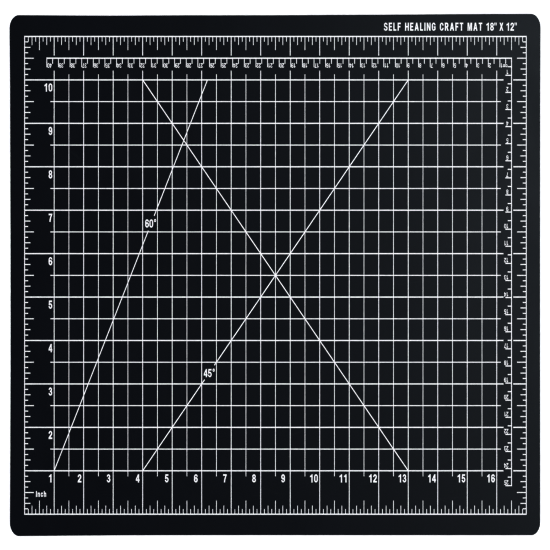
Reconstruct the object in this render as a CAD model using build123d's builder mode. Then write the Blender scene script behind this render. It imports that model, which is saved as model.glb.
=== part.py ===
from build123d import *
from math import atan2, degrees, hypot, sqrt
import os

# Self healing mat: a five ply laminated sheet with a white ruled print on its
# upper face.  Millimetres, Z up.  The origin is the centre of the underside,
# the long side runs along X and the inch figures read with +Y upwards.

inch = 25.4
cm = 10.0

# ---------------------------------------------------------------- laminated sheet
mat_length = 456.0
mat_width = 304.0
corner_radius = 7.5
healing_thickness = 0.90
stiffener_thickness = 0.25
core_thickness = 0.70
edge_round = 0.25

# height of the underside of each ply, then of the printed face
lower_stiffener_z = healing_thickness
core_z = lower_stiffener_z + stiffener_thickness
upper_stiffener_z = core_z + core_thickness
top_healing_z = upper_stiffener_z + stiffener_thickness
face_z = top_healing_z + healing_thickness


def sheet_ply(base_z, thickness, rounded_face=None):
    """One ply of the sheet.  rounded_face is 0 to round the rim of its
    underside, -1 to round the rim of its upper face."""
    with BuildPart() as ply:
        with BuildSketch(Plane.XY.offset(base_z)):
            RectangleRounded(mat_length, mat_width, corner_radius)
        extrude(amount=thickness)
        if rounded_face is not None:
            fillet(ply.faces().sort_by(Axis.Z)[rounded_face].edges(), radius=edge_round)
    return ply.part


# ---------------------------------------------------------------- print layout
ink_thickness = 0.05

# ruled area, in whole inches, and where it sits on the sheet
ruled_length_in = 17
ruled_width_in = 11
print_shift_x = 0.25
print_shift_y = 0.0
columns = range(1, ruled_length_in)
rows = range(1, ruled_width_in)

# line widths
frame_line = 0.82
inch_line = 0.79
half_inch_line = 0.65
tick_line = 0.64
metric_line = 0.84
metric_tick_line = 0.70
angle_line = 0.78

# ends of the grid lines, inches from the lower left corner of the frame
inch_grid_x_end = 16.23
inch_grid_y_end = 10.215
half_grid_x_start = 0.87
half_grid_x_end = 16.14
half_grid_y_start = 0.87
half_grid_y_end = 10.13

# border ticks, lengths from the centre of the frame line
eighth_tick = 3.05
quarter_tick = 5.05
half_tick = 8.0
inch_tick = 11.2

# centimetre scale, running from its own corner near the far right
metric_corner_x_in = 16.5
metric_corner_y_in = 10.5
metric_length_cm = 40
metric_width_cm = 25
metric_tick = 5.3
metric_half_tick = 3.3

# angle guides, in inches; each rising guide is broken between two heights
angle_45_start_in = (4, 1)
angle_45_end_in = (13, 10)
angle_60_start_in = (1, 1)
angle_60_end_y_in = 10
angle_45_gap_in = (3.10, 3.43)
angle_60_gap_in = (6.53, 6.87)

# lower left corner of the ruled frame
frame_x = print_shift_x - ruled_length_in * inch / 2
frame_y = print_shift_y - ruled_width_in * inch / 2


def at(x_in, y_in):
    """Sheet position of a point of the ruled frame given in inches."""
    return (frame_x + x_in * inch, frame_y + y_in * inch)


metric_x, metric_y = at(metric_corner_x_in, metric_corner_y_in)

# ---------------------------------------------------------------- character outlines
# Every character is drawn 10 units high with its left edge at x = 0 and its
# foot at y = 0, then scaled where it is used.
glyph_height = 10.0
digit_width = 6.7
stem = 2.0
bar = 1.6
word_space = 3.2


def polygon(*points, mode=Mode.ADD):
    """Adds a straight sided closed outline to the open sketch."""
    with BuildLine() as rim:
        Polyline(*points, close=True)
    make_face(rim.edges(), mode=mode)


def oval(x, y, half_x, half_y, mode=Mode.ADD):
    """Adds an oval centred on x, y to the open sketch: four arcs that meet
    smoothly, two tight ones at its ends and two slack ones along its sides."""
    long, short = max(half_x, half_y), min(half_x, half_y)
    diagonal = hypot(long, short)
    tight = diagonal * (diagonal - long + short) / (2 * long)
    slack = diagonal * (diagonal + long - short) / (2 * short)
    joint_long = (long - tight) * (1 + tight / (slack - tight))
    joint_short = (slack - short) * tight / (slack - tight)
    joints = [
        (joint_long, -joint_short), (joint_long, joint_short),
        (-joint_long, joint_short), (-joint_long, -joint_short),
    ]
    crowns = [(long, 0), (0, short), (-long, 0), (0, -short)]
    if half_y > half_x:
        joints = [(-across, along) for along, across in joints]
        crowns = [(-across, along) for along, across in crowns]
    with BuildLine() as rim:
        for i in range(4):
            arc = (joints[i], crowns[i], joints[(i + 1) % 4])
            ThreePointArc(*[(x + dx, y + dy) for dx, dy in arc])
    make_face(rim.edges(), mode=mode)


def slot_ring(width, hole_height, hole_width):
    """Adds a full height upright ring with straight sides to the open sketch."""
    with Locations((width / 2, glyph_height / 2)):
        SlotOverall(glyph_height, width, rotation=90)
        SlotOverall(hole_height, hole_width, rotation=90, mode=Mode.SUBTRACT)


def stem_and_arch(stem_top):
    """Adds a stem with an arch on its right, as in h and n, to the open sketch."""
    with BuildLine() as rim:
        Polyline((0, 0), (1.9, 0), (1.9, 4.3))
        ThreePointArc((1.9, 4.3), (2.9, 5.6), (3.8, 4.3))
        Polyline((3.8, 4.3), (3.8, 0), (5.7, 0), (5.7, 4.8))
        ThreePointArc((5.7, 4.8), (4.4, 7.3), (1.9, 6.4))
        Polyline((1.9, 6.4), (1.9, stem_top), (0, stem_top), (0, 0))
    make_face(rim.edges())


with BuildSketch() as digit_0:
    slot_ring(digit_width, glyph_height - 2 * bar, digit_width - 2 * stem)

with BuildSketch() as digit_1:
    polygon(
        (3.05, 0), (5.2, 0), (5.2, 10), (3.5, 10), (2.8, 8.9), (0.6, 8.0), (0.6, 6.4), (3.05, 7.2),
    )

with BuildSketch() as digit_2:
    with BuildLine():
        ThreePointArc((0.15, 6.75), (3.35, 10.0), (6.55, 6.95))
        ThreePointArc((6.55, 6.95), (6.15, 5.35), (5.15, 4.15))
        Polyline((5.15, 4.15), (2.95, 1.8), (6.6, 1.8), (6.6, 0), (0, 0), (0, 1.75), (3.65, 5.45))
        ThreePointArc((3.65, 5.45), (4.3, 6.2), (4.5, 7.0))
        ThreePointArc((4.5, 7.0), (3.35, 8.35), (2.2, 7.0))
        Polyline((2.2, 7.0), (2.15, 6.55), (0.15, 6.75))
    make_face()

with BuildSketch() as digit_3:
    with BuildLine():
        ThreePointArc((0.2, 7.2), (3.2, 10.0), (6.2, 7.35))
        ThreePointArc((6.2, 7.35), (5.8, 6.05), (4.8, 5.3))
        ThreePointArc((4.8, 5.3), (6.15, 4.35), (6.6, 2.95))
        ThreePointArc((6.6, 2.95), (3.3, 0), (0, 3.0))
        Line((0, 3.0), (2.0, 3.15))
        ThreePointArc((2.0, 3.15), (3.3, 1.6), (4.55, 3.0))
        ThreePointArc((4.55, 3.0), (4.05, 4.1), (3.0, 4.45))
        Polyline((3.0, 4.45), (2.4, 4.45), (2.4, 5.95), (3.0, 5.95))
        ThreePointArc((3.0, 5.95), (3.85, 6.35), (4.2, 7.2))
        ThreePointArc((4.2, 7.2), (3.2, 8.4), (2.15, 7.1))
        Line((2.15, 7.1), (0.2, 7.2))
    make_face()

with BuildSketch() as digit_4:
    polygon(
        (3.75, 0), (5.75, 0), (5.75, 2.1), (6.75, 2.1), (6.75, 3.7), (5.75, 3.7),
        (5.75, 10), (3.75, 10), (0, 3.9), (0, 2.1), (3.75, 2.1),
    )
    polygon((3.75, 3.7), (3.75, 7.0), (1.75, 3.7), mode=Mode.SUBTRACT)

with BuildSketch() as digit_5:
    with BuildLine():
        ThreePointArc((2.15, 6.35), (5.55, 5.6), (6.6, 3.3))
        ThreePointArc((6.6, 3.3), (3.3, 0.0), (0.0, 2.95))
        Line((0.0, 2.95), (2.0, 3.15))
        ThreePointArc((2.0, 3.15), (3.3, 1.6), (4.55, 3.3))
        ThreePointArc((4.55, 3.3), (3.3, 4.95), (2.15, 4.25))
        Polyline(
            (2.15, 4.25), (0.2, 4.45), (0.75, 10), (6.15, 10), (6.15, 8.2), (2.35, 8.2),
            (2.15, 6.35),
        )
    make_face()

with BuildSketch() as digit_6:
    slot_ring(digit_width, glyph_height - 2 * bar, digit_width - 2 * stem)
    with Locations((digit_width / 2 + 2.5, 5.7)):
        Rectangle(5, 3.0, mode=Mode.SUBTRACT)
    oval(digit_width / 2, 3.2, digit_width / 2, 3.2)
    oval(digit_width / 2, 3.2, digit_width / 2 - stem - 0.1, 1.5, mode=Mode.SUBTRACT)

with BuildSketch() as digit_7:
    with BuildLine():
        Polyline((0.1, 8.2), (0.1, 10), (6.6, 10), (6.6, 8.6))
        ThreePointArc((6.6, 8.6), (4.5, 4.8), (3.6, 0))
        Line((3.6, 0), (1.5, 0))
        ThreePointArc((1.5, 0), (2.3, 4.4), (4.4, 8.2))
        Line((4.4, 8.2), (0.1, 8.2))
    make_face()

with BuildSketch() as digit_8:
    oval(digit_width / 2, 7.35, 3.05, 2.65)
    oval(digit_width / 2, 2.85, 3.35, 2.85)
    oval(digit_width / 2, 7.25, 1.1, 1.2, mode=Mode.SUBTRACT)
    oval(digit_width / 2, 2.95, 1.3, 1.35, mode=Mode.SUBTRACT)

with BuildSketch() as digit_9:
    with Locations((digit_width, glyph_height)):
        add(digit_6.sketch, rotation=180)

with BuildSketch() as degree_sign:
    with Locations((2.5, 8.6)):
        Circle(1.9)
        Circle(0.75, mode=Mode.SUBTRACT)

with BuildSketch() as inch_mark:
    polygon((0, 10), (1.7, 10), (1.45, 6.6), (0.25, 6.6))
    polygon((2.5, 10), (4.2, 10), (3.95, 6.6), (2.75, 6.6))

with BuildSketch() as letter_A:
    polygon((0, 0), (2.2, 0), (2.75, 2.2), (4.85, 2.2), (5.4, 0), (7.6, 0), (4.9, 10), (2.7, 10))
    polygon((3.2, 4.0), (4.4, 4.0), (3.8, 6.9), mode=Mode.SUBTRACT)

with BuildSketch() as letter_C:
    slot_ring(width=6.8, hole_height=6.7, hole_width=2.6)
    with Locations((6.0, 5.0)):
        Rectangle(5.0, 3.0, mode=Mode.SUBTRACT)

with BuildSketch() as letter_E:
    polygon(
        (0, 0), (5.9, 0), (5.9, 1.8), (2.1, 1.8), (2.1, 4.2), (5.4, 4.2), (5.4, 5.9), (2.1, 5.9),
        (2.1, 8.2), (5.8, 8.2), (5.8, 10), (0, 10),
    )

with BuildSketch() as letter_F:
    polygon(
        (0, 0), (2.1, 0), (2.1, 4.1), (5.1, 4.1), (5.1, 5.8), (2.1, 5.8), (2.1, 8.2), (5.7, 8.2),
        (5.7, 10), (0, 10),
    )

with BuildSketch() as letter_G:
    slot_ring(width=6.8, hole_height=6.7, hole_width=2.6)
    with Locations((6.0, 5.1)):
        Rectangle(5.0, 3.4, mode=Mode.SUBTRACT)
    polygon((3.5, 3.8), (4.9, 3.8), (4.9, 1.2), (6.8, 1.2), (6.8, 5.4), (3.5, 5.4))

with BuildSketch() as letter_H:
    polygon(
        (0, 0), (2.1, 0), (2.1, 4.1), (4.9, 4.1), (4.9, 0), (7.0, 0), (7.0, 10), (4.9, 10),
        (4.9, 5.9), (2.1, 5.9), (2.1, 10), (0, 10),
    )

with BuildSketch() as letter_I:
    with Locations((1.05, 5)):
        Rectangle(2.1, 10)

with BuildSketch() as letter_L:
    polygon((0, 0), (5.5, 0), (5.5, 1.8), (2.1, 1.8), (2.1, 10), (0, 10))

with BuildSketch() as letter_M:
    polygon(
        (0, 0), (1.9, 0), (1.9, 7.0), (3.35, 0), (4.95, 0), (6.4, 7.0), (6.4, 0), (8.3, 0),
        (8.3, 10), (5.5, 10), (4.15, 3.6), (2.8, 10), (0, 10),
    )

with BuildSketch() as letter_N:
    polygon(
        (0, 0), (1.95, 0), (1.95, 6.5), (4.8, 0), (6.9, 0), (6.9, 10), (4.95, 10), (4.95, 3.6),
        (2.1, 10), (0, 10),
    )

with BuildSketch() as letter_R:
    with BuildLine():
        Polyline((0, 10), (0, 0), (2.1, 0), (2.1, 3.9), (2.9, 3.9), (4.6, 0), (7.0, 0), (5.0, 4.3))
        ThreePointArc((5.0, 4.3), (6.3, 5.4), (6.6, 7.0))
        ThreePointArc((6.6, 7.0), (5.7, 9.2), (3.6, 10.0))
        Line((3.6, 10.0), (0, 10))
    make_face()
    with BuildLine():
        Polyline((3.3, 8.3), (2.1, 8.3), (2.1, 5.6), (3.3, 5.6))
        ThreePointArc((3.3, 5.6), (4.5, 6.95), (3.3, 8.3))
    make_face(mode=Mode.SUBTRACT)

with BuildSketch() as letter_S:
    with BuildSketch(mode=Mode.PRIVATE) as upper_bowl:
        oval(3.35, 7.2, 3.15, 2.8)
        oval(3.35, 7.2, 1.2, 1.25, mode=Mode.SUBTRACT)
        with Locations((5.35, 6.2)):
            Rectangle(4.0, 2.0, mode=Mode.SUBTRACT)
    with BuildSketch(mode=Mode.PRIVATE) as lower_bowl:
        oval(3.35, 2.85, 3.35, 2.85)
        oval(3.35, 2.85, 1.35, 1.25, mode=Mode.SUBTRACT)
        with Locations((1.35, 3.85)):
            Rectangle(4.0, 2.0, mode=Mode.SUBTRACT)
    add(upper_bowl.sketch)
    add(lower_bowl.sketch)

with BuildSketch() as letter_T:
    polygon(
        (2.15, 0), (4.25, 0), (4.25, 8.2), (6.4, 8.2), (6.4, 10), (0, 10), (0, 8.2), (2.15, 8.2),
    )

with BuildSketch() as letter_X:
    polygon(
        (0, 0), (2.3, 0), (3.6, 3.2), (4.9, 0), (7.2, 0), (4.8, 5.15), (7.0, 10), (4.75, 10),
        (3.6, 7.1), (2.45, 10), (0.2, 10), (2.4, 5.15),
    )

with BuildSketch() as letter_c:
    oval(2.9, 3.7, 2.9, 3.7)
    oval(2.9, 3.7, 1.05, 2.15, mode=Mode.SUBTRACT)
    with Locations((4.6, 3.7)):
        Rectangle(3.4, 1.8, mode=Mode.SUBTRACT)

with BuildSketch() as letter_h:
    stem_and_arch(stem_top=10)

with BuildSketch() as letter_m:
    with BuildLine():
        Polyline((0, 0), (1.8, 0), (1.8, 4.4))
        ThreePointArc((1.8, 4.4), (2.65, 5.6), (3.45, 4.4))
        Polyline((3.45, 4.4), (3.45, 0), (5.25, 0), (5.25, 4.4))
        ThreePointArc((5.25, 4.4), (6.1, 5.6), (6.9, 4.4))
        Polyline((6.9, 4.4), (6.9, 0), (8.7, 0), (8.7, 4.8))
        ThreePointArc((8.7, 4.8), (7.2, 7.35), (4.9, 6.2))
        ThreePointArc((4.9, 6.2), (3.4, 7.35), (1.8, 6.4))
        Polyline((1.8, 6.4), (1.8, 7.2), (0, 7.2), (0, 0))
    make_face()

with BuildSketch() as letter_n:
    stem_and_arch(stem_top=7.2)

outlines = {
    "0": digit_0, "1": digit_1, "2": digit_2, "3": digit_3, "4": digit_4,
    "5": digit_5, "6": digit_6, "7": digit_7, "8": digit_8, "9": digit_9,
    "°": degree_sign, '"': inch_mark, "A": letter_A, "C": letter_C,
    "E": letter_E, "F": letter_F, "G": letter_G, "H": letter_H, "I": letter_I,
    "L": letter_L, "M": letter_M, "N": letter_N, "R": letter_R, "S": letter_S,
    "T": letter_T, "X": letter_X, "c": letter_c, "h": letter_h, "m": letter_m,
    "n": letter_n,
}


# ---------------------------------------------------------------- setting lines of characters
def width_of(character):
    """Width of a character in outline units; digits share one width."""
    if character == " ":
        return word_space
    if character in "0123456789":
        return digit_width
    return outlines[character].sketch.bounding_box().max.X


def line_length(text, height, gap):
    """Length of a line of characters set gap apart."""
    unit = height / glyph_height
    return sum(width_of(character) * unit for character in text) + gap * (len(text) - 1)


def set_lines(lines, height, gap, swell=0, turn=0):
    """Adds lines of characters to the open sketch.

    lines holds (text, x, y), where x, y is the left foot of the line as it is
    read.  A line turned by 180 degrees is read from the far side of the sheet.
    swell is how far the ink spreads beyond the drawn outline.  Digits keep
    sharp corners when they swell; letters and signs round off."""
    unit = height / glyph_height
    way = -1 if turn == 180 else 1
    places = {}
    for text, x, y in lines:
        for character in text:
            if character != " ":
                places.setdefault(character, []).append((x, y))
            x += way * (width_of(character) * unit + gap)
    for character in sorted(places):
        outline = scale(outlines[character].sketch, by=unit, mode=Mode.PRIVATE)
        if swell:
            corners = Kind.TANGENT if character.isdigit() else Kind.ARC
            outline = offset(outline, amount=swell, kind=corners, mode=Mode.PRIVATE)
        with Locations(*places[character]):
            add(outline, rotation=turn)


def lettering_film(*settings):
    """Ink film of characters; each setting holds the arguments of set_lines."""
    with BuildPart() as film:
        with BuildSketch(Plane.XY.offset(face_z)):
            for setting in settings:
                set_lines(**setting)
        extrude(amount=ink_thickness)
    return film.part


# ---------------------------------------------------------------- shared line work
# These sets of lines are sketches of their own, so that one film can be
# trimmed where it meets the film of another set.
with BuildSketch() as inch_lines:
    with Locations(*[at(column, inch_grid_y_end / 2) for column in columns]):
        Rectangle(inch_line, inch_grid_y_end * inch)
    with Locations(*[at(inch_grid_x_end / 2, row) for row in rows]):
        Rectangle(inch_grid_x_end * inch, inch_line)

half_x_centre = (half_grid_x_start + half_grid_x_end) / 2
half_y_centre = (half_grid_y_start + half_grid_y_end) / 2
with BuildSketch() as half_inch_lines:
    with Locations(*[at(column + 0.5, half_y_centre) for column in columns[:-1]]):
        Rectangle(half_inch_line, (half_grid_y_end - half_grid_y_start) * inch)
    with Locations(*[at(half_x_centre, row + 0.5) for row in rows[:-1]]):
        Rectangle((half_grid_x_end - half_grid_x_start) * inch, half_inch_line)

ruled_length = ruled_length_in * inch
ruled_width = ruled_width_in * inch
with BuildSketch() as frame_lines:
    with Locations(at(ruled_length_in / 2, ruled_width_in / 2)):
        Rectangle(ruled_length + frame_line, ruled_width + frame_line)
        Rectangle(ruled_length - frame_line, ruled_width - frame_line, mode=Mode.SUBTRACT)


def angle_rule(start, end):
    """Adds a slanted guide line between two sheet positions to the open sketch."""
    (x0, y0), (x1, y1) = start, end
    with Locations(((x0 + x1) / 2, (y0 + y1) / 2)):
        Rectangle(hypot(x1 - x0, y1 - y0), angle_line, rotation=degrees(atan2(y1 - y0, x1 - x0)))


def on_45(y_in):
    """Point of the rising 45 degree guide at a height in inches."""
    return at(angle_45_start_in[0] + (y_in - angle_45_start_in[1]), y_in)


def on_60(y_in):
    """Point of the 60 degree guide at a height in inches."""
    return at(angle_60_start_in[0] + (y_in - angle_60_start_in[1]) / sqrt(3), y_in)


with BuildSketch() as angle_45_lines:
    angle_rule(on_45(angle_45_start_in[1]), on_45(angle_45_gap_in[0]))
    angle_rule(on_45(angle_45_gap_in[1]), on_45(angle_45_end_in[1]))
    angle_rule(
        at(angle_45_start_in[0], angle_45_end_in[1]),
        at(angle_45_end_in[0], angle_45_start_in[1]),
    )

with BuildSketch() as angle_60_lines:
    angle_rule(on_60(angle_60_start_in[1]), on_60(angle_60_gap_in[0]))
    angle_rule(on_60(angle_60_gap_in[1]), on_60(angle_60_end_y_in))


# ---------------------------------------------------------------- ruled films
def line_film(lines, *trims):
    """Ink film of a set of lines, cut away where it meets the sets in trims."""
    with BuildPart() as film:
        with BuildSketch(Plane.XY.offset(face_z)):
            add(lines.sketch)
            for trim in trims:
                add(trim.sketch, mode=Mode.SUBTRACT)
        extrude(amount=ink_thickness)
    return film.part


def inch_border():
    """Frame with ticks pointing inwards.  The whole inch ticks stand only on
    the +Y and +X sides, where the grid lines stop short of the frame."""
    # eighths of an inch each class of tick stands on, and its length
    tick_classes = [([1, 3, 5, 7], eighth_tick), ([2, 6], quarter_tick), ([4], half_tick)]
    with BuildPart() as film:
        with BuildSketch(Plane.XY.offset(face_z)):
            add(frame_lines.sketch)
            for eighths, length in tick_classes:
                along_x = [i + eighth / 8 for i in range(ruled_length_in) for eighth in eighths]
                along_y = [i + eighth / 8 for i in range(ruled_width_in) for eighth in eighths]
                reach = length / inch / 2
                for y in (reach, ruled_width_in - reach):
                    with Locations(*[at(x, y) for x in along_x]):
                        Rectangle(tick_line, length)
                for x in (reach, ruled_length_in - reach):
                    with Locations(*[at(x, y) for y in along_y]):
                        Rectangle(length, tick_line)
            reach = inch_tick / inch / 2
            with Locations(*[at(column, ruled_width_in - reach) for column in columns]):
                Rectangle(inch_line, inch_tick)
            with Locations(*[at(ruled_length_in - reach, row) for row in rows]):
                Rectangle(inch_tick, inch_line)
        extrude(amount=ink_thickness)
    return film.part


def metric_scale():
    """Two centimetre rules that run towards -X and -Y from a shared corner."""
    length_x = metric_length_cm * cm + metric_line / 2 + metric_tick_line / 2
    length_y = metric_width_cm * cm + metric_line / 2 + metric_tick_line / 2
    with BuildPart() as film:
        with BuildSketch(Plane.XY.offset(face_z)):
            with Locations((metric_x + metric_line / 2 - length_x / 2, metric_y)):
                Rectangle(length_x, metric_line)
            with Locations((metric_x, metric_y + metric_line / 2 - length_y / 2)):
                Rectangle(metric_line, length_y)
            for start, tick in ((1, metric_tick), (0.5, metric_half_tick)):
                along_x = [metric_x - (start + i) * cm for i in range(metric_length_cm)]
                along_y = [metric_y - (start + i) * cm for i in range(metric_width_cm)]
                with Locations(*[(x, metric_y - tick / 2) for x in along_x]):
                    Rectangle(metric_tick_line, tick)
                with Locations(*[(metric_x - tick / 2, y) for y in along_y]):
                    Rectangle(tick, metric_tick_line)
        extrude(amount=ink_thickness)
    return film.part


# ---------------------------------------------------------------- lettering films
def inch_numerals():
    """Numerals under the first grid row and left of the first column.

    The single figures of the bottom row stand on a slightly closer pitch than
    the grid, so they drift away from their lines."""
    height = 4.75
    gap = 0.65
    right_margin = 1.6
    drop = 2.05
    single_figure_offset = 4.75
    single_figure_drift = 0.37

    def left_of(x, number):
        return x - right_margin - line_length(str(number), height, gap)

    figures = []
    for column in columns:
        x, y = at(column, 1)
        if column < 10:
            left = x - single_figure_offset - single_figure_drift * (column - 1)
        else:
            left = left_of(x, column)
        figures.append((str(column), left, y - drop - height))
    for row in rows[1:]:
        x, y = at(1, row)
        figures.append((str(row), left_of(x, row), y - drop - height))
    return lettering_film(dict(lines=figures, height=height, gap=gap, swell=0.075))


def metric_numerals():
    """Centimetre numerals, read from the far side of the sheet."""
    height = 2.75
    gap = 0.10
    side = 0.5
    drop = 2.9
    inset = 2.65
    rise = 0.47
    figures = []
    for mark in range(1, metric_length_cm + 1):
        left = metric_x - mark * cm + side + line_length(str(mark), height, gap)
        figures.append((str(mark), left, metric_y - drop))
    for mark in range(1, metric_width_cm + 1):
        figures.append((str(mark), metric_x - inset, metric_y - mark * cm + rise + height))
    return lettering_film(dict(lines=figures, height=height, gap=gap, turn=180))


def angle_labels():
    """Labels beside the breaks in the rising guides."""
    labels = [("45°", *at(6.07, 3.155)), ("60°", *at(4.085, 6.60))]
    return lettering_film(dict(lines=labels, height=4.8, gap=0.45, swell=0.05))


def unit_labels():
    """Unit names at the lower left of the frame and the corner of the metric scale."""
    inch_label = [("Inch", *at(0.385, 0.40))]
    cm_label = [("cm", *at(16.36, 10.363))]
    return lettering_film(
        dict(lines=inch_label, height=3.4, gap=0.72, swell=0.06),
        dict(lines=cm_label, height=2.4, gap=0.25, swell=0.03, turn=180),
    )


def size_legend():
    """Product words and size on one line above the frame, set from the right."""
    words = "SELF HEALING CRAFT MAT"
    size = '18" X 12"'
    height = 4.7
    swell = 0.045
    words_gap = 1.1
    size_gap = 0.45
    words_to_size = 3.2
    right, foot = at(16.68, 11.133)
    size_x = right - line_length(size, height, size_gap)
    words_x = size_x - words_to_size - line_length(words, height, words_gap)
    return lettering_film(
        dict(lines=[(words, words_x, foot)], height=height, gap=words_gap, swell=swell),
        dict(lines=[(size, size_x, foot)], height=height, gap=size_gap, swell=swell),
    )


# ---------------------------------------------------------------- pieces and files
pieces = {
    "bottom_healing_layer": sheet_ply(0, healing_thickness, rounded_face=0),
    "lower_stiffener_layer": sheet_ply(lower_stiffener_z, stiffener_thickness),
    "core_sheet": sheet_ply(core_z, core_thickness),
    "upper_stiffener_layer": sheet_ply(upper_stiffener_z, stiffener_thickness),
    "top_healing_layer": sheet_ply(top_healing_z, healing_thickness, rounded_face=-1),
    "inch_border_print": inch_border(),
    "inch_grid_print": line_film(inch_lines, frame_lines),
    "half_inch_grid_print": line_film(half_inch_lines, inch_lines),
    "angle_45_print": line_film(angle_45_lines, inch_lines, half_inch_lines),
    "angle_60_print": line_film(angle_60_lines, inch_lines, half_inch_lines, angle_45_lines),
    "metric_scale_print": metric_scale(),
    "inch_numerals_print": inch_numerals(),
    "metric_numerals_print": metric_numerals(),
    "angle_labels_print": angle_labels(),
    "unit_labels_print": unit_labels(),
    "size_legend_print": size_legend(),
}

os.makedirs("parts", exist_ok=True)
for name, piece in pieces.items():
    piece.label = name
    export_step(piece, f"parts/{name}.step")
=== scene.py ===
import bpy, math, random
from mathutils import Matrix, Vector


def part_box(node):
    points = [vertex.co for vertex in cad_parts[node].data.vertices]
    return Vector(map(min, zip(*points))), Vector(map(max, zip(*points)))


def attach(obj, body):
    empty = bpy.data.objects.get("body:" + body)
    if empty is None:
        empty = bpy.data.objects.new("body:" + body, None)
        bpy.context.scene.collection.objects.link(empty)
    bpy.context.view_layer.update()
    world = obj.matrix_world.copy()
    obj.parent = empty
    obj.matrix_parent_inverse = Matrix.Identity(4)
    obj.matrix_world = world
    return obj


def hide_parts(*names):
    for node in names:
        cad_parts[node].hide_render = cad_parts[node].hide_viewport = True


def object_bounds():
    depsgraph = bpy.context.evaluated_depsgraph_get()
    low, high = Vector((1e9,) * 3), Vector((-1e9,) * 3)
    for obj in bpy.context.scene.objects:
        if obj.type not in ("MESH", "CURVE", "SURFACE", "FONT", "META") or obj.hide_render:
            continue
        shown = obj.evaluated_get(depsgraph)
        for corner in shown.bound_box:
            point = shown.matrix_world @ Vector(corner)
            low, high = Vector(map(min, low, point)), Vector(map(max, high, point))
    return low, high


# Self healing cutting mat: five laminated plies built in mesh code, with the
# packed ink films lying on the top ply.  Metres.  The mat lies flat, centred
# on the origin, its length along x, its width along y and its print facing +z.

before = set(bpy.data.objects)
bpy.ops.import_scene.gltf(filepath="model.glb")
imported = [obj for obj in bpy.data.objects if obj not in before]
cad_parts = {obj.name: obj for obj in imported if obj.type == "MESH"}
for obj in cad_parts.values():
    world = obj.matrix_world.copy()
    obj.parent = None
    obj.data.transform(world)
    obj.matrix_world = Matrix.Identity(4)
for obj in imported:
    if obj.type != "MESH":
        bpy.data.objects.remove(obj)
cad_lo, cad_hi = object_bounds()
scene = bpy.context.scene
mm = 0.001


def add_object(name, data):
    made = bpy.data.objects.new(name, data)
    scene.collection.objects.link(made)
    return made


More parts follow.
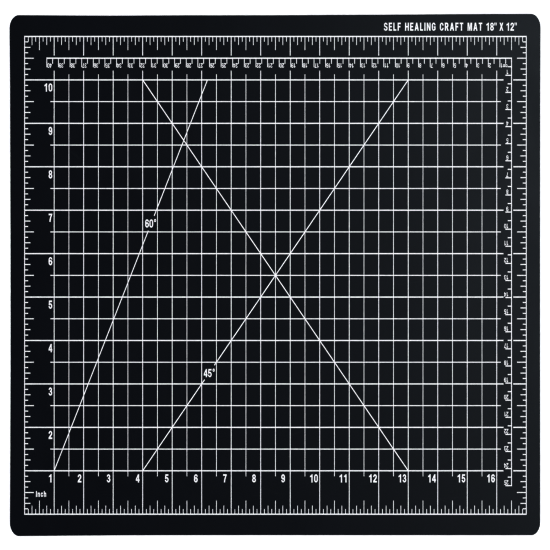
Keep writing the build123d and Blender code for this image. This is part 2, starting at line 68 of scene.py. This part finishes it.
# ------------------------------------------------------------------ node graphs
class Graph:
    """A node material with a Principled shader and small building calls."""

    def __init__(self, name):
        self.material = bpy.data.materials.new(name)
        self.material.use_nodes = True
        self.tree = self.material.node_tree
        self.tree.nodes.clear()
        output = self.add("ShaderNodeOutputMaterial")
        self.shader = self.add("ShaderNodeBsdfPrincipled")
        self.link(self.shader.outputs["BSDF"], output.inputs["Surface"])
        self.place = self.add("ShaderNodeTexCoord").outputs["Object"]

    def add(self, kind):
        """Adds a node, laid out in the editor in columns of eight."""
        column, row = divmod(len(self.tree.nodes), 8)
        node = self.tree.nodes.new(kind)
        node.location = (-220 * column, -170 * row)
        return node

    def link(self, source, target):
        self.tree.links.new(source, target)

    def feed(self, socket, value):
        """Links a socket, or sets its value when given a number or a colour."""
        if isinstance(value, bpy.types.NodeSocket):
            self.link(value, socket)
        elif isinstance(value, tuple):
            socket.default_value = (*value, 1.0)
        else:
            socket.default_value = value

    def set(self, name, value):
        self.feed(self.shader.inputs[name], value)

    def stretch(self, scale=(1.0, 1.0, 1.0), shift=(0.0, 0.0, 0.0), turn=0.0):
        """Object coordinates scaled per axis and turned about z, in degrees."""
        node = self.add("ShaderNodeMapping")
        self.link(self.place, node.inputs["Vector"])
        node.inputs["Location"].default_value = shift
        node.inputs["Rotation"].default_value = (0.0, 0.0, math.radians(turn))
        node.inputs["Scale"].default_value = scale
        return node.outputs["Vector"]

    def noise(self, scale, detail=2.0, rough=0.5, vector=None, distortion=0.0, solid=False):
        node = self.add("ShaderNodeTexNoise")
        node.noise_dimensions = "3D" if solid else "2D"
        self.link(vector or self.place, node.inputs["Vector"])
        node.inputs["Scale"].default_value = scale
        node.inputs["Detail"].default_value = detail
        node.inputs["Roughness"].default_value = rough
        node.inputs["Distortion"].default_value = distortion
        return node.outputs["Fac"]

    def cells(self, scale, feature="SMOOTH_F1", vector=None):
        node = self.add("ShaderNodeTexVoronoi")
        node.voronoi_dimensions = "2D"
        node.feature = feature
        self.link(vector or self.place, node.inputs["Vector"])
        node.inputs["Scale"].default_value = scale
        if feature == "SMOOTH_F1":
            node.inputs["Smoothness"].default_value = 0.35
        return node.outputs["Distance"]

    def span(self, value, over, to, kind="LINEAR"):
        """Maps the range `over` onto the range `to`."""
        node = self.add("ShaderNodeMapRange")
        node.interpolation_type = kind
        self.feed(node.inputs["Value"], value)
        for side, end in enumerate(("Min", "Max")):
            node.inputs["From " + end].default_value = over[side]
            node.inputs["To " + end].default_value = to[side]
        return node.outputs["Result"]

    def smooth(self, value, over, to=(0.0, 1.0)):
        return self.span(value, over, to, kind="SMOOTHSTEP")

    def math(self, operation, first, second, clamp=False):
        node = self.add("ShaderNodeMath")
        node.operation = operation
        node.use_clamp = clamp
        self.feed(node.inputs[0], first)
        self.feed(node.inputs[1], second)
        return node.outputs["Value"]

    def times(self, value, factor):
        return self.math("MULTIPLY", value, factor)

    def mix(self, factor, first, second, blend="MIX"):
        node = self.add("ShaderNodeMix")
        node.data_type = "RGBA"
        node.blend_type = blend
        node.clamp_factor = True
        # 6, 7 and 2 are the colour sockets among those of every data type
        self.feed(node.inputs[0], factor)
        self.feed(node.inputs[6], first)
        self.feed(node.inputs[7], second)
        return node.outputs[2]

    def shade(self, colour, value, over, to):
        """Multiplies a colour by a grey, spanned from a value."""
        grey = self.span(value, over, to)
        node = self.add("ShaderNodeCombineColor")
        for channel in range(3):
            self.link(grey, node.inputs[channel])
        return self.mix(1.0, colour, node.outputs["Color"], "MULTIPLY")

    def bump(self, height, distance, strength):
        node = self.add("ShaderNodeBump")
        node.inputs["Strength"].default_value = strength
        node.inputs["Distance"].default_value = distance
        self.feed(node.inputs["Height"], height)
        self.set("Normal", node.outputs["Normal"])

    def attribute(self, name):
        node = self.add("ShaderNodeAttribute")
        node.attribute_name = name
        return node.outputs["Fac"]


def healed_strokes(graph):
    """Healed knife strokes: long thin cell borders in two directions, kept
    only where a slow noise lets them through."""
    marks = []
    # cells per metre along x and y, turn in degrees, shift of the pattern
    for x, y, turn, shift in ((34.0, 2.6, 24.0, 3.1), (2.2, 30.0, -14.0, 8.7)):
        long_cells = graph.stretch(scale=(x, y, 1.0), shift=(shift, shift, shift), turn=turn)
        border = graph.cells(scale=1.0, feature="DISTANCE_TO_EDGE", vector=long_cells)
        line = graph.smooth(border, over=(0.0, 0.006), to=(1.0, 0.0))
        shifted = graph.stretch(shift=(shift, -shift, 0.0))
        gate = graph.smooth(graph.noise(scale=26.0, vector=shifted), over=(0.56, 0.70))
        marks.append(graph.times(line, gate))
    return graph.math("MAXIMUM", *marks)


def vinyl_face(name, low, high, pebble_scale, rough):
    """Matt calendered vinyl: pebbled skin, tone drifting from low to high,
    hairline healed strokes, a burnished rim and a dragged cut edge."""
    graph = Graph(name)
    drift = graph.noise(scale=9.0, detail=3.0, rough=0.55)
    cloud = graph.noise(scale=70.0, detail=4.0, rough=0.6, distortion=0.4)
    skin = graph.cells(pebble_scale)
    fine = graph.noise(scale=5200.0, detail=3.0, rough=0.65)
    tone = graph.mix(graph.smooth(drift, over=(0.3, 0.7)), low, high)
    tone = graph.shade(tone, cloud, over=(0.25, 0.75), to=(0.95, 1.05))
    tone = graph.shade(tone, skin, over=(0.0, 0.9), to=(1.10, 0.86))
    tone = graph.shade(tone, fine, over=(0.2, 0.8), to=(0.93, 1.07))

    strokes = healed_strokes(graph)
    tone = graph.mix(graph.times(strokes, factor=0.10), tone, second=(0.060, 0.064, 0.070))

    # rim: the rounded edge rubs lighter and a little smoother
    rim = graph.attribute("rim")
    wear = graph.noise(scale=420.0, detail=4.0, rough=0.65)
    rubbed = graph.times(rim, graph.smooth(wear, over=(0.35, 0.72), to=(0.15, 1.0)))
    tone = graph.mix(graph.times(rubbed, factor=0.45), tone, second=(0.070, 0.074, 0.080))

    # cut edge: the die drags fine streaks through the thickness
    cut = graph.attribute("cut")
    streaks = graph.stretch(scale=(2300.0, 2300.0, 160.0))
    drag = graph.noise(scale=1.0, detail=3.0, rough=0.6, vector=streaks, solid=True)
    cut_tone = graph.mix(
        graph.smooth(drag, over=(0.3, 0.7)),
        first=(0.020, 0.022, 0.025),
        second=(0.046, 0.049, 0.054),
    )
    graph.set("Base Color", graph.mix(cut, tone, cut_tone))

    smear = graph.noise(scale=16.0, detail=5.0, rough=0.62, distortion=0.8)
    gloss = graph.span(smear, over=(0.3, 0.72), to=rough)
    gloss = graph.math("ADD", gloss, graph.span(fine, over=(0.2, 0.8), to=(-0.025, 0.025)))
    gloss = graph.math("SUBTRACT", gloss, graph.times(rubbed, factor=0.10))
    gloss = graph.math("ADD", gloss, graph.times(cut, factor=0.12), clamp=True)
    graph.set("Roughness", gloss)
    graph.set("Specular IOR Level", 0.24)

    # relief: pebbles and fine tooth on the faces, drag marks on the cut edge
    pebbles = graph.smooth(skin, over=(0.0, 0.9), to=(0.62, 0.0))
    tooth = graph.times(fine, factor=0.30)
    face_height = graph.math("ADD", pebbles, tooth)
    face_height = graph.times(face_height, graph.math("SUBTRACT", 1.0, cut, clamp=True))
    cut_height = graph.times(graph.times(drag, cut), factor=1.6)
    relief = graph.math("ADD", face_height, cut_height)
    graph.bump(relief, distance=0.010 * mm, strength=0.55)
    return graph.material


def film_edge(name, low, high, rough):
    """Thin calendered film seen at the cut: close streaks and a soft gloss."""
    graph = Graph(name)
    streaks = graph.stretch(scale=(1900.0, 1900.0, 90.0))
    drag = graph.noise(scale=1.0, detail=3.0, rough=0.6, vector=streaks, solid=True)
    grain = graph.noise(scale=3600.0, detail=3.0, rough=0.6, solid=True)
    tone = graph.mix(graph.smooth(drag, over=(0.3, 0.7)), low, high)
    tone = graph.shade(tone, grain, over=(0.2, 0.8), to=(0.9, 1.1))
    graph.set("Base Color", tone)
    graph.set("Roughness", graph.span(grain, over=(0.2, 0.8), to=(rough - 0.06, rough + 0.08)))
    graph.set("Specular IOR Level", 0.4)
    relief = graph.math("ADD", drag, graph.times(grain, factor=0.3))
    graph.bump(relief, distance=0.02 * mm, strength=0.5)
    return graph.material


def screen_ink(name, white, dull):
    """Opaque screen ink: slight mottle, pinholes and a dry orange peel."""
    graph = Graph(name)
    mottle = graph.noise(scale=640.0, detail=4.0, rough=0.6)
    drift = graph.noise(scale=14.0, detail=3.0)
    skin = graph.cells(scale=2700.0)
    fine = graph.noise(scale=6200.0, detail=3.0, rough=0.6)
    tone = graph.mix(graph.smooth(mottle, over=(0.3, 0.72)), white, dull)
    tone = graph.shade(tone, drift, over=(0.3, 0.7), to=(1.0, 0.985))
    tone = graph.shade(tone, fine, over=(0.25, 0.8), to=(1.01, 0.975))
    dots = graph.cells(scale=1500.0, feature="F1")
    pinholes = graph.smooth(dots, over=(0.0, 0.13), to=(1.0, 0.0))
    gate = graph.smooth(graph.noise(scale=300.0), over=(0.60, 0.72))
    pinholes = graph.times(graph.times(pinholes, gate), factor=0.35)
    graph.set("Base Color", graph.mix(pinholes, tone, second=(0.30, 0.31, 0.33)))
    graph.set("Roughness", graph.span(mottle, over=(0.3, 0.7), to=(0.52, 0.64)))
    graph.set("Specular IOR Level", 0.3)
    peel = graph.smooth(skin, over=(0.0, 0.9), to=(0.7, 0.0))
    relief = graph.math("ADD", peel, graph.times(fine, factor=0.35))
    graph.bump(relief, distance=0.010 * mm, strength=0.5)
    return graph.material


top_vinyl = vinyl_face(
    "healing_vinyl_top", low=(0.0081, 0.0110, 0.0198), high=(0.0091, 0.0123, 0.0220),
    pebble_scale=2600.0, rough=(0.47, 0.53))
back_vinyl = vinyl_face(
    "healing_vinyl_back", low=(0.0110, 0.0135, 0.0190), high=(0.0135, 0.0160, 0.0220),
    pebble_scale=1500.0, rough=(0.52, 0.62))
stiffener_film = film_edge(
    "stiffener_film_cut", low=(0.030, 0.032, 0.036), high=(0.060, 0.063, 0.068), rough=0.38)
core_vinyl = film_edge(
    "core_vinyl_cut", low=(0.016, 0.017, 0.019), high=(0.034, 0.036, 0.039), rough=0.62)
ink_bold = screen_ink(
    "print_ink_bold", white=(0.889, 0.872, 0.886), dull=(0.859, 0.843, 0.858))
ink_fine = screen_ink(
    "print_ink_fine", white=(0.886, 0.868, 0.884), dull=(0.849, 0.832, 0.849))


# ------------------------------------------------------------------ ply outline
corner = 7.5 * mm
# half the length and width of the part between the corner arcs
flat_x = (cad_hi.x - cad_lo.x) / 2 - corner
flat_y = (cad_hi.y - cad_lo.y) / 2 - corner
cells_x, cells_y = 56, 38
arc_steps = 14
round_steps = 5
face_border = 0.6 * mm

# How far the die cut edge stands outside the nominal outline, in mm, at even
# steps along each side, anticlockwise from the lower right corner.
wander = {
    "right": (0.05, 0.02, -0.01, -0.04, -0.05, -0.06, -0.04, 0.00, 0.05, 0.12, 0.35),
    "top": (0.87, 0.80, 0.60, 0.42, 0.28, 0.12, 0.08, 0.04, -0.10, -0.04, 0.15),
    "left": (0.62, 0.22, 0.06, -0.06, -0.20, -0.28, -0.31, -0.26, -0.10, 0.06, 0.27),
    "bottom": (0.44, 0.22, 0.02, -0.06, -0.08, -0.10, -0.09, -0.08, -0.09, -0.09, -0.09),
}


def along(values, t):
    """Catmull-Rom reading of an evenly spaced list at t from 0 to 1."""
    last = len(values) - 1
    f = t * last
    i = min(int(f), last - 1)
    f -= i
    p = [values[min(max(k, 0), last)] for k in (i - 1, i, i + 1, i + 2)]
    return 0.5 * (
        2 * p[1] + (p[2] - p[0]) * f + (2 * p[0] - 5 * p[1] + 4 * p[2] - p[3]) * f * f
        + (3 * p[1] - p[0] - 3 * p[2] + p[3]) * f ** 3
    )


def rounded_outline(seed, tremor):
    """Outline points, anticlockwise from the lower end of the right side, as
    (x, y, normal x, normal y).  tremor is the fine unevenness of the cut, in mm."""
    draw = random.Random(seed).uniform
    # waves per metre, phase, weight
    waves = [(draw(18, 95), draw(0, 6.28), draw(0.3, 1.0)) for _ in range(9)]
    total = sum(weight for _, _, weight in waves)

    def shake(s):
        return tremor * sum(w * math.sin(6.2832 * f * s + p) for f, p, w in waves) / total

    points = []
    # side, start, direction, length, cells, outward normal
    sides = (
        ("right", (flat_x, -flat_y), (0, 1), 2 * flat_y, cells_y, (1, 0)),
        ("top", (flat_x, flat_y), (-1, 0), 2 * flat_x, cells_x, (0, 1)),
        ("left", (-flat_x, flat_y), (0, -1), 2 * flat_y, cells_y, (-1, 0)),
        ("bottom", (-flat_x, -flat_y), (1, 0), 2 * flat_x, cells_x, (0, -1)),
    )
    travelled = 0.0
    for k, (side, start, way, length, count, out) in enumerate(sides):
        for i in range(count + 1):
            t = i / count
            stand = corner + along(wander[side], t) * mm + shake(travelled + t * length) * mm
            points.append((
                start[0] + way[0] * length * t + out[0] * stand,
                start[1] + way[1] * length * t + out[1] * stand,
                out[0], out[1],
            ))
        travelled += length
        centre = (start[0] + way[0] * length, start[1] + way[1] * length)
        here = wander[side][-1]
        there = wander[sides[(k + 1) % 4][0]][0]
        for i in range(1, arc_steps):
            angle = math.pi / 2 * i / arc_steps
            nx = out[0] * math.cos(angle) + way[0] * math.sin(angle)
            ny = out[1] * math.cos(angle) + way[1] * math.sin(angle)
            share = i / arc_steps
            uneven = here * (1 - share) + there * share + shake(travelled + corner * angle)
            stand = corner + uneven * mm
            points.append((centre[0] + nx * stand, centre[1] + ny * stand, nx, ny))
        travelled += corner * math.pi / 2
    return points


def edge_rings(face_z, facing, radius):
    """Rings from the wall onto the face that looks up (facing 1) or down (-1),
    as (inward offset, height, rim, cut)."""
    rings = []
    if radius:
        for i in range(round_steps + 1):
            angle = math.pi / 2 * i / round_steps
            rings.append((
                radius * (1 - math.cos(angle)),
                face_z - facing * radius * (1 - math.sin(angle)),
                math.sin(2 * angle) ** 0.5 if 0 < i < round_steps else 0.0,
                1 - i / round_steps,
            ))
    else:
        rings.append((0.0, face_z, 0.0, 1.0))
    # one more ring just inside the face keeps the rounding's shading crisp
    inward, _, _, cut = rings[-1]
    rings.append((inward + face_border, face_z, 0.0, cut))
    return rings


def grid_border():
    """The inner grid's (column, row) joined to each outline point; all points
    of a corner arc share the grid's corner."""
    sides = (
        [(cells_x, i) for i in range(cells_y + 1)],
        [(cells_x - i, cells_y) for i in range(cells_x + 1)],
        [(0, cells_y - i) for i in range(cells_y + 1)],
        [(i, 0) for i in range(cells_x + 1)],
    )
    border = []
    for side in sides:
        border += side + [side[-1]] * (arc_steps - 1)
    return border


def ply(name, low_z, high_z, inset, round_top, round_bottom, seed, tremor):
    """A closed sheet: gridded faces above and below, and a wall whose edges
    may be rounded.  Vertex attributes mark the rubbed rim and the cut wall."""
    outline = rounded_outline(seed, tremor)
    count = len(outline)
    rings = edge_rings(low_z, -1, round_bottom)[::-1] + edge_rings(high_z, 1, round_top)

    verts, rim, cut, faces = [], [], [], []
    for inward, z, ring_rim, ring_cut in rings:
        for x, y, nx, ny in outline:
            verts.append((x - nx * (inward + inset), y - ny * (inward + inset), z))
            rim.append(ring_rim)
            cut.append(ring_cut)
    for k in range(len(rings) - 1):
        below, above = k * count, (k + 1) * count
        for i in range(count):
            j = (i + 1) % count
            faces.append((below + i, below + j, above + j, above + i))

    border = grid_border()
    for z, ring, up in ((low_z, 0, False), (high_z, len(rings) - 1, True)):
        base = len(verts)
        for j in range(cells_y + 1):
            for i in range(cells_x + 1):
                x = -flat_x + 2 * flat_x * i / cells_x
                y = -flat_y + 2 * flat_y * j / cells_y
                verts.append((x, y, z))
                rim.append(0.0)
                cut.append(0.0)

        def at(i, j):
            return base + j * (cells_x + 1) + i

        face_set = [
            (at(i, j), at(i + 1, j), at(i + 1, j + 1), at(i, j + 1))
            for j in range(cells_y) for i in range(cells_x)
        ]
        for i in range(count):
            j = (i + 1) % count
            inner, inner_next = at(*border[i]), at(*border[j])
            outer = (ring * count + i, ring * count + j)
            joined = (inner,) if inner == inner_next else (inner_next, inner)
            face_set.append(outer + joined)
        faces += face_set if up else [face[::-1] for face in face_set]

    mesh = bpy.data.meshes.new(name)
    mesh.from_pydata(verts, [], faces)
    for label, values in (("rim", rim), ("cut", cut)):
        layer = mesh.attributes.new(label, "FLOAT", "POINT")
        layer.data.foreach_set("value", values)
    for polygon in mesh.polygons:
        polygon.use_smooth = True
    mesh.update()
    mesh.validate()
    piece = add_object(name, mesh)
    # flat faces keep their own normals beside the rounded edge
    weight = piece.modifiers.new("face_normals", "WEIGHTED_NORMAL")
    weight.keep_sharp = True
    return piece


layers = (
    # node, slot, inset, top rounding, bottom rounding, seed, tremor, material; mm
    ("bottom_healing_layer", "healing_vinyl", 0.00, 0.0, 0.25, 4, 0.05, back_vinyl),
    ("lower_stiffener_layer", "stiffener_film", 0.07, 0.0, 0.0, 5, 0.03, stiffener_film),
    ("core_sheet", "core_vinyl", 0.02, 0.0, 0.0, 6, 0.05, core_vinyl),
    ("upper_stiffener_layer", "stiffener_film", 0.07, 0.0, 0.0, 7, 0.03, stiffener_film),
    ("top_healing_layer", "healing_vinyl", 0.00, 0.25, 0.0, 8, 0.05, top_vinyl),
)
for node, slot, inset, above, below, seed, tremor, material in layers:
    lo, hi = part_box(node)
    piece = ply(node + "_sheet", lo.z, hi.z, inset * mm, above * mm, below * mm, seed, tremor)
    piece.data.materials.append(material)
    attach(piece, "root")
    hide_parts(node)

# the ink films stay as packed; every slot takes the bold or the fine ink
thin_lines = ("half_inch_grid_print", "inch_grid_print")
for name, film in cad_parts.items():
    if name.endswith("_print"):
        ink = ink_fine if name in thin_lines else ink_bold
        slots = film.data.materials
        if len(slots) == 0:
            slots.append(ink)
        for k in range(len(slots)):
            slots[k] = ink

# ------------------------------------------------------------------ floor
reach, floor_cells = 14.0, 28
floor_z = -0.02 * mm
row = floor_cells + 1
ticks = [-reach + 2 * reach * i / floor_cells for i in range(row)]
floor_mesh = bpy.data.meshes.new("floor")
floor_mesh.from_pydata(
    [(x, y, floor_z) for y in ticks for x in ticks],
    [],
    [(j * row + i, j * row + i + 1, (j + 1) * row + i + 1, (j + 1) * row + i)
     for j in range(floor_cells) for i in range(floor_cells)],
)
floor = add_object("floor", floor_mesh)
paper = Graph("floor_paper")
pulp = paper.noise(scale=900.0, detail=4.0, rough=0.6)
paper.set("Base Color", paper.mix(
    paper.smooth(pulp, over=(0.3, 0.7)), first=(0.90, 0.90, 0.90), second=(0.93, 0.93, 0.93)))
paper.set("Roughness", 0.9)
paper.set("Specular IOR Level", 0.1)
paper.set("Emission Color", (1.0, 1.0, 1.0))
paper.set("Emission Strength", 0.45)
floor_mesh.materials.append(paper.material)

# ------------------------------------------------------------------ studio
# Soft white dome, dimmer overhead than at mid height, white to the camera.
dome_stops = (
    # height (0 horizon, 1 overhead), tint, level
    (0.0, (0.97, 0.98, 1.0), 0.30),
    (0.14, (0.97, 0.98, 1.0), 0.60),
    (0.34, (1.0, 1.0, 1.0), 1.95),
    (0.60, (1.0, 1.0, 1.0), 1.95),
    (0.74, (0.92, 0.97, 1.0), 1.05),
    (0.87, (0.76, 0.90, 1.0), 0.40),
    (1.0, (0.66, 0.85, 1.0), 0.08),
)
world = bpy.data.worlds.new("studio")
world.use_nodes = True
tree = world.node_tree
tree.nodes.clear()
sky_out, to_camera, dome, choose, path, direction, split, rise = [
    tree.nodes.new("ShaderNode" + kind)
    for kind in ("OutputWorld", "Background", "Background", "MixShader",
                 "LightPath", "TexCoord", "SeparateXYZ", "ValToRGB")
]
to_camera.inputs["Color"].default_value = (1, 1, 1, 1)
to_camera.inputs["Strength"].default_value = 1.25
dome.inputs["Strength"].default_value = 1.0
ramp = rise.color_ramp
ramp.interpolation = "EASE"
while len(ramp.elements) < len(dome_stops):
    ramp.elements.new(0.5)
for element, (height, tint, level) in zip(ramp.elements, dome_stops):
    element.position = height
    element.color = (*[channel * level for channel in tint], 1.0)
for source, target in (
    (direction.outputs["Generated"], split.inputs[0]),
    (split.outputs["Z"], rise.inputs["Fac"]),
    (rise.outputs["Color"], dome.inputs["Color"]),
    (path.outputs["Is Camera Ray"], choose.inputs["Fac"]),
    (dome.outputs[0], choose.inputs[1]),
    (to_camera.outputs[0], choose.inputs[2]),
    (choose.outputs[0], sky_out.inputs["Surface"]),
):
    tree.links.new(source, target)
scene.world = world

# a softbox beyond the right end; it gives the sheen its fall from right to left
box_data = bpy.data.lights.new("softbox", "AREA")
box_data.shape = "RECTANGLE"
box_data.size, box_data.size_y = 0.55, 0.45
box_data.energy = 9.7
box_data.color = (0.92, 1.0, 0.99)
box = add_object("softbox", box_data)
box.location = (0.41, 0.12, 0.62)
box_target = Vector((0.12, 0.05, 0.0))
box.rotation_mode = "QUATERNION"
box.rotation_quaternion = (box_target - box.location).to_track_quat("-Z", "Y")
box.visible_diffuse = False

# ------------------------------------------------------------------ camera
# Straight down, with no perspective, and scaled apart along x and y: the two
# image axes are unit vectors that lean out of the sheet's plane, so each
# one's share in that plane sets its scale.
field_x, field_y = 473.44 * mm, 321.66 * mm
ortho = 0.58
lean_x, lean_y = field_x / ortho, field_y / ortho
cam_data = bpy.data.cameras.new("camera")
cam_data.type = "ORTHO"
cam_data.ortho_scale = ortho
cam_data.clip_start, cam_data.clip_end = 0.05, 10.0
cam = add_object("camera", cam_data)
scene.camera = cam
right = Vector((lean_x, 0.0, math.sqrt(1 - lean_x ** 2)))
up = Vector((0.0, lean_y, -math.sqrt(1 - lean_y ** 2)))
spot = Vector((-0.137 * mm, 0.204 * mm, 1.2))
cam.parent = add_object("camera_rig", None)
# an object's own transform can't hold leaning axes, the parent inverse can
cam.matrix_parent_inverse = Matrix((
    (right.x, up.x, 0.0, spot.x),
    (right.y, up.y, 0.0, spot.y),
    (right.z, up.z, 1.0, spot.z),
    (0.0, 0.0, 0.0, 1.0),
))

# a tone curve steeper than plain sRGB, so blacks stay deep
scene.view_settings.view_transform = "Standard"
scene.view_settings.look = "None"
scene.view_settings.gamma = 0.54
# a narrow filter keeps the thin ink lines crisp
scene.cycles.filter_width = 1.35

bpy.context.view_layer.update()
